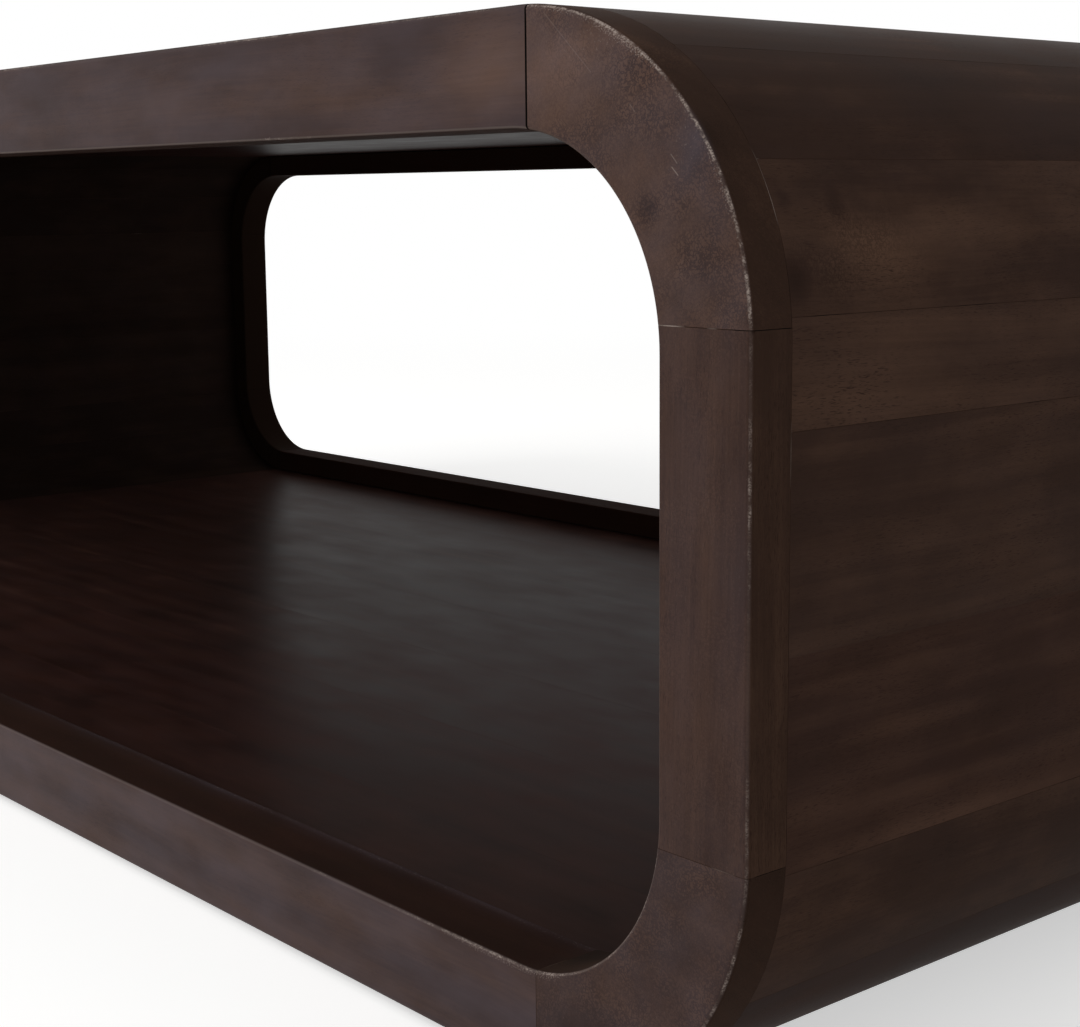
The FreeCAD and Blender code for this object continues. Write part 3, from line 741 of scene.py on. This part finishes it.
OWN_CHARACTERS = {
    "front_top_rail": {
        "spots": {
            "tone": (((585, -350, 343), (50, 20, 26), 0.33), ((475, -350, 338), (60, 20, 14), 0.08)),
        },
    },
    "front_top_right_corner_block": {
        "spots": {
            "tone": (
                ((658, -350, 296), (7, 20, 6), -0.25),
                ((678, -350, 312), (10, 20, 14), -0.2),
                ((622, -350, 340), (40, 20, 26), 0.31),
                ((671, -350, 285), (16, 20, 20), 0.08),
            ),
            "flecks": (((650, -350, 345), (46, 3, 12), 0.7), ((676, -350, 320), (14, 3, 24), 0.4)),
            "bloom_and_sheen": (((678, -350, 314), (16, 3, 20), 0.1), ((618, -350, 342), (46, 3, 26), 0.06)),
            "curls": (((656, -350, 336), (56, 20, 40), 0.4),),
        },
        "rubbed": (
            ((650, -350, 348), (44, 12, 26), 1.6),
            ((612, -350, 359), (44, 12, 10), 1.1),
            ((680, -350, 328), (22, 12, 22), 1.2),
            ((692, -350, 308), (22, 12, 30), 1.2),
            ((700, -350, 278), (14, 12, 26), 0.6),
        ),
        "scratched": (
            (667.6, 311.5, 670.1, 308.9, 0.25),
            (668.0, 307.8, 670.5, 305.5, 0.4),
            (650.2, 326.4, 652.4, 324.0, 0.15),
            (612.0, 355.0, 633.0, 336.5, 0.12),
        ),
    },
    "front_bottom_right_corner_block": {
        "tone": -0.12,
        "curls": 0.0,
        "ease": 0.3,
        # the block's inner surfaces behind its face are much darker: painted shade inside the opening
        "spots": {"tone": (((594, -325, 110), (100, 24, 100), -1.6),)},
        "rubbed": (
            ((690, -350, 73), (3, 8, 3), 1.3),
            ((672, -350, 56), (44, 12, 50), 0.75),
            ((608, -350, 42), (30, 8, 10), 1.2),
        ),
        "opening": 0.7,
    },
    "front_bottom_rail": {
        "face": {"tone": 0.4, "bloom_and_sheen": 0.16, "redness": -0.12, "dullness": -0.36},
        "opening": 0.6,
        "ease": 0.4,
        # a soft milky band and pale specks along the lip's back edge: a painted highlight of its rounded edge
        "spots": {
            "bloom_and_sheen": (((400, -321, 42), (600, 12, 8), 0.05), ((430, -323, 42), (450, 3.5, 4), 0.06)),
            "flecks": (((430, -323, 42), (450, 3.5, 4), 1.2),),
        },
        "rubbed": (((585, -350, 42), (110, 8, 12), 1.2),),
    },
    "front_right_stile": {
        "spots": {"tone": (((697, -350, 190), (4, 30, 80), -0.08),)},
        "rubbed": (((700, -350, 215), (8, 8, 50), 0.4), ((700, -350, 118), (8, 8, 24), 0.2)),
    },
    "right_side_board_3": {
        "tone": 0.09,
        "spots": {
            "tone": (((700, -305, 245), (10, 60, 20), 0.14),),
            "pores": (((700, -308, 243), (10, 40, 20), 0.6),),
        },
    },
    "top_right_top_stave": {"log": "top_right_middle_stave", "tone": -0.05, "specular": 0.0055},
    "top_right_middle_stave": {
        "tone": -0.05,
        "specular": 0.0055,
        "spots": {"bloom_and_sheen": (((675, -150, 325), (30, 130, 24), 0.02),)},
    },
    "bottom_right_bottom_stave": {"tone": -0.08, "specular": 0.0029},
    "bottom_right_middle_stave": {"tone": -0.08, "bloom_and_sheen": 0.03, "specular": 0.0035},
    "top_right_side_stave": {
        "tone": 0.07,
        "spots": {
            "tone": (
                ((700, -330, 276), (14, 9, 9), -0.25),
                ((698, -306, 298), (14, 7, 10), -0.2),
                ((698, -328, 299), (14, 5, 5), -0.15),
                ((698, -292, 280), (14, 34, 15), 0.22),
                ((698, -250, 290), (14, 60, 12), 0.1),
            ),
            "pores": (((698, -296, 276), (14, 34, 14), 0.5),),
            "curls": (((698, -300, 284), (14, 40, 22), 1.2),),
        },
    },
    "right_side_board_1": {
        "figure": 0.24,
        "streaks": 0.2,
        "redness": 0.08,
        "spots": {
            "tone": (((700, -260, 99), (14, 130, 8), 0.24), ((700, -250, 118), (14, 90, 6), -0.16),
                     ((700, -270, 136), (14, 80, 6), 0.14), ((700, -280, 152), (14, 70, 6), 0.1)),
        },
    },
    "right_side_board_2": {"log": "right_side_board_1", "figure": 0.24, "streaks": 0.2},
    "left_side_board_2": {"log": "left_side_board_1"},
}
# by how the names start: the top, the left end and the back frame are darker as painted shade inside the
# table, and the shelf floor is darker towards the front and redder where the sheen lies on it, a painted warm
# tint of that reflection
GROUP_CHARACTERS_AND_SHADE = {
    "top_board": {"tone": -0.4, "specular": 0.0025},
    "bottom_board": {
        "spots": {
            "tone": (((200, -200, 23), (520, 130, 60), -0.22),),
            "redness": (((340, 60, 23), (420, 340, 60), 0.5),),
        },
    },
    "left_side_board": {"tone": -0.28, "figure": 0.15, "streaks": 0.22},
    "top_left": {"tone": -0.35},
    "bottom_left": {"tone": -0.35},
    "back": {"tone": -0.45, "specular": 0.012},
}
# how clean the seams are, and where they are pale, partly rubbed and partly painted highlight and painted
# light over a groove's shade, and dark where below zero
SEAMS = {
    "frame": (-0.2, (
        ((668, -350, 262), (14, 6, 4), 0.8),
        ((684, -350, 262), (10, 6, 4), 0.45),
        ((676, -350, 101), (80, 6, 8), 0.5),
        ((603, -335, 23), (10, 80, 60), 0.5),
        ((700, -333, 130), (8, 4, 80), 0.25),
        ((640, -333, 345), (60, 4, 40), 0.3),
        ((690, -333, 296), (20, 3, 30), 0.55),
        ((700, -333, 225), (8, 3, 44), 0.5),
    )),
    "shell": (0.06, (
        ((698, -320, 262), (10, 26, 6), -0.12),
        ((700, -310, 215), (10, 24, 6), -0.12),
        ((685, -318, 304), (16, 18, 10), 0.14),
        ((690, -333, 296), (20, 3, 30), 0.25),
        ((700, -333, 225), (8, 3, 44), 0.2),
    )),
}
# the two lower side boards come from one plank, so the seam between them doesn't show
MATCHED_BOARDS = ("side_board_1", "side_board_2")
HIDDEN_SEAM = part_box("right_side_board_2")[0].z


def finish_wood(kind, nodes, ease, seams):
    """Gives pieces of one kind their eased edges, their seams and their wood."""
    for node in nodes:
        group = next((looks for start, looks in GROUP_CHARACTERS_AND_SHADE.items() if node.startswith(start)), {})
        character = {**CHARACTERS[kind], **OWN_CHARACTERS.get(node, {}), **group}
        own_ease = ease * character.pop("ease")
        seam = HIDDEN_SEAM if node.endswith(MATCHED_BOARDS) else None
        eased(node, wood_material(node, **character), own_ease, seams, seam)


class COFFEE_TABLE_OT_frames(Operator):
    """Finishes the rails, stiles and corner blocks of the front and back frames"""

    bl_idname = "coffee_table.frames"
    bl_label = "Finish Frames"

    def execute(self, context):
        ease = context.scene.coffee_table_shape.frame_ease
        for kind in ("rail", "stile", "corner_block"):
            finish_wood(kind, [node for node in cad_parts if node.endswith(kind)], ease, "frame")
        return {"FINISHED"}


class COFFEE_TABLE_OT_shell(Operator):
    """Finishes the boards and staves between the two frames"""

    bl_idname = "coffee_table.shell"
    bl_label = "Finish Shell"

    def execute(self, context):
        ease = context.scene.coffee_table_shape.shell_ease
        nodes = list(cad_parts)
        boards = [node for node in nodes if node.startswith(("top_board", "bottom_board"))]
        finish_wood("board", boards, ease, "shell")
        finish_wood("side_board", [node for node in nodes if "side_board" in node], ease, "shell")
        finish_wood("stave", [node for node in nodes if node.endswith("stave")], ease, "shell")
        return {"FINISHED"}


class COFFEE_TABLE_OT_joinery(Operator):
    """Finishes what is hidden in the joints: dowels and splines"""

    bl_idname = "coffee_table.joinery"
    bl_label = "Finish Joinery"

    def execute(self, context):
        beech = beech_material()
        plywood = plywood_material()
        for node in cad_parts:
            if node.endswith("_dowels"):
                dress(node, beech)
            elif node.endswith("_spline"):
                dress(node, plywood)
        return {"FINISHED"}


class COFFEE_TABLE_OT_glides(Operator):
    """Finishes the nailed glides under the bottom"""

    bl_idname = "coffee_table.glides"
    bl_label = "Finish Glides"

    def execute(self, context):
        shape = context.scene.coffee_table_shape
        rim = shape.glide_rim / 2
        sole = shape.glide_sole / 2
        well = shape.glide_well / 2
        head = shape.nail_head / 2
        shank = shape.nail_shank / 2
        low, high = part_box("glide_nails")
        sunk = low.z + shape.nail_head_height
        # both profiles have the small rounded edges of their making, 0.1 to 0.5 mm
        pad = lathed("glide_pad", (
            (0.0, WOOD_FOOT),
            (rim, WOOD_FOOT),
            (rim, WOOD_FOOT - 0.5 * MM),
            (sole + 0.35 * MM, 0.35 * MM),
            (sole + 0.1 * MM, 0.1 * MM),
            (sole - 0.3 * MM, 0.0),
            (well + 0.3 * MM, 0.0),
            (well, 0.3 * MM),
            (well, sunk),
            (0.0, sunk),
        ))
        nail = lathed("glide_nail", (
            (0.0, high.z),
            (shank, high.z - 2 * shank),
            (shank, sunk),
            (head - 0.1 * MM, sunk),
            (head, sunk - 0.2 * MM),
            (head, low.z + 0.35 * MM),
            (head - 0.3 * MM, low.z + 0.12 * MM),
            (head / 2, low.z + 0.02 * MM),
            (0.0, low.z),
        ))
        repeated(pad, "glide_pads", nylon_material())
        repeated(nail, "glide_nails", steel_material())
        return {"FINISHED"}


class COFFEE_TABLE_OT_stage(Operator):
    """Sets up the floor, the light and the camera"""

    bl_idname = "coffee_table.stage"
    bl_label = "Set Up Stage"

    def execute(self, context):
        stage = context.scene.coffee_table_stage
        make_floor(stage)
        make_light(context.scene)
        make_camera(context.scene, stage)
        context.scene.view_settings.view_transform = "Standard"
        return {"FINISHED"}


# how brightly the sky lights the table, where 1 would be white, and the large soft box
SKY_LEVEL = 0.44
BOX_PLACE = (-0.6, -2.6, 2.0)
BOX_SIZE = 2.2
BOX_POWER = 40.0
# the floor, the reaches between which it melts into the white, and how far it is lifted for the eye
FLOOR_RADIUS = 6.0
MELT_BEGINS = 1.2
MELT_ENDS = 3.2
FLOOR_LIFT = 0.55
SENSOR_WIDTH = 36.0


def seen_rays(tree):
    """1 for rays that look at the studio: straight, in gloss or through glass."""
    rays = tree.nodes.new("ShaderNodeLightPath").outputs
    return joined(tree, [rays[f"Is {kind} Ray"] for kind in ("Camera", "Glossy", "Transmission")], "MAXIMUM")


def make_floor(stage):
    """A round pale floor that is seen nearly white, keeps a soft shadow and melts away at its rim."""
    form = bmesh.new()
    bmesh.ops.create_circle(form, cap_ends=True, radius=FLOOR_RADIUS, segments=96)
    floor = placed("floor", mesh_of("floor", form, smooth=False))
    material, tree = fresh_material("pale floor")
    where = add(tree, "ShaderNodeTexCoord", take="Object")
    reach = add(tree, "ShaderNodeVectorMath", {0: where}, take="Value", operation="LENGTH")
    inputs = {"Value": reach, 1: MELT_BEGINS, 2: MELT_ENDS, 3: 0.0, 4: 1.0}
    melt = add(tree, "ShaderNodeMapRange", inputs, interpolation_type="SMOOTHSTEP")
    painted = add(tree, "ShaderNodeBsdfDiffuse", {"Color": (*stage.floor_colour, 1.0)})
    lift = add(tree, "ShaderNodeMath", {0: seen_rays(tree), 1: FLOOR_LIFT}, operation="MULTIPLY")
    lift = add(tree, "ShaderNodeEmission", {"Strength": lift})
    painted = add(tree, "ShaderNodeAddShader", {0: painted, 1: lift})
    white = add(tree, "ShaderNodeEmission", {"Strength": 1.0})
    shader = add(tree, "ShaderNodeMixShader", {0: melt, 1: painted, 2: white})
    add(tree, "ShaderNodeOutputMaterial", {"Surface": shader})
    floor.data.materials.append(material)


def make_light(scene):
    """An even pale sky with one large soft box at the front left."""
    world = bpy.data.worlds.new("studio")
    scene.world = world
    world.use_nodes = True
    tree = world.node_tree
    tree.nodes.clear()
    level = add(tree, "ShaderNodeMix", {0: seen_rays(tree), 2: SKY_LEVEL, 3: 1.0})
    sky = add(tree, "ShaderNodeBackground", {"Color": colour("#FFFFFF"), "Strength": level})
    add(tree, "ShaderNodeOutputWorld", {"Surface": sky})
    lamp = bpy.data.lights.new("front box", "AREA")
    lamp.size = BOX_SIZE
    lamp.energy = BOX_POWER
    holder = placed("front box", lamp)
    holder.location = BOX_PLACE
    aim = Vector((0.0, 0.0, MID_HEIGHT)) - holder.location
    holder.rotation_euler = aim.to_track_quat("-Z", "Y").to_euler()


def make_camera(scene, stage):
    """The camera at the photograph's viewing angle."""
    data = bpy.data.cameras.new("camera")
    data.lens = stage.focal_length
    data.sensor_width = SENSOR_WIDTH
    data.sensor_fit = "HORIZONTAL"
    data.clip_start = 0.01
    camera = placed("camera", data)
    heading = Matrix.Rotation(stage.camera_heading, 4, "Z")
    tilt = Matrix.Rotation(RIGHT_ANGLE + stage.camera_pitch, 4, "X")
    roll = Matrix.Rotation(stage.camera_roll, 4, "Z")
    camera.matrix_world = Matrix.Translation(stage.camera_place) @ heading @ tilt @ roll
    scene.camera = camera


class COFFEE_TABLE_PT_panel(Panel):
    """Lists the steps that finish the table"""

    bl_idname = "COFFEE_TABLE_PT_panel"
    bl_label = "Coffee Table"
    bl_space_type = "VIEW_3D"
    bl_region_type = "UI"
    bl_category = "Coffee Table"

    def draw(self, context):
        layout = self.layout
        for group in GROUPS:
            settings = getattr(context.scene, group)
            for name in settings.__annotations__:
                layout.prop(settings, name)
        for step in STEPS:
            layout.operator(step.bl_idname)


GROUPS = {
    "coffee_table_shape": CoffeeTableShape,
    "coffee_table_finish": CoffeeTableFinish,
    "coffee_table_stage": CoffeeTableStage,
}
STEPS = (
    COFFEE_TABLE_OT_frames,
    COFFEE_TABLE_OT_shell,
    COFFEE_TABLE_OT_joinery,
    COFFEE_TABLE_OT_glides,
    COFFEE_TABLE_OT_stage,
)
CLASSES = (*GROUPS.values(), *STEPS, COFFEE_TABLE_PT_panel)


def register():
    """Registers the classes and hangs their settings on the scene."""
    for member in CLASSES:
        bpy.utils.register_class(member)
    for name, group in GROUPS.items():
        setattr(bpy.types.Scene, name, PointerProperty(type=group))


def unregister():
    """Takes the settings off the scene and unregisters the classes."""
    for name in GROUPS:
        delattr(bpy.types.Scene, name)
    for member in reversed(CLASSES):
        bpy.utils.unregister_class(member)


def main():
    """Finishes the table step by step."""
    register()
    bpy.ops.coffee_table.frames()
    bpy.ops.coffee_table.shell()
    bpy.ops.coffee_table.joinery()
    bpy.ops.coffee_table.glides()
    bpy.ops.coffee_table.stage()


if __name__ == "__main__":
    main()
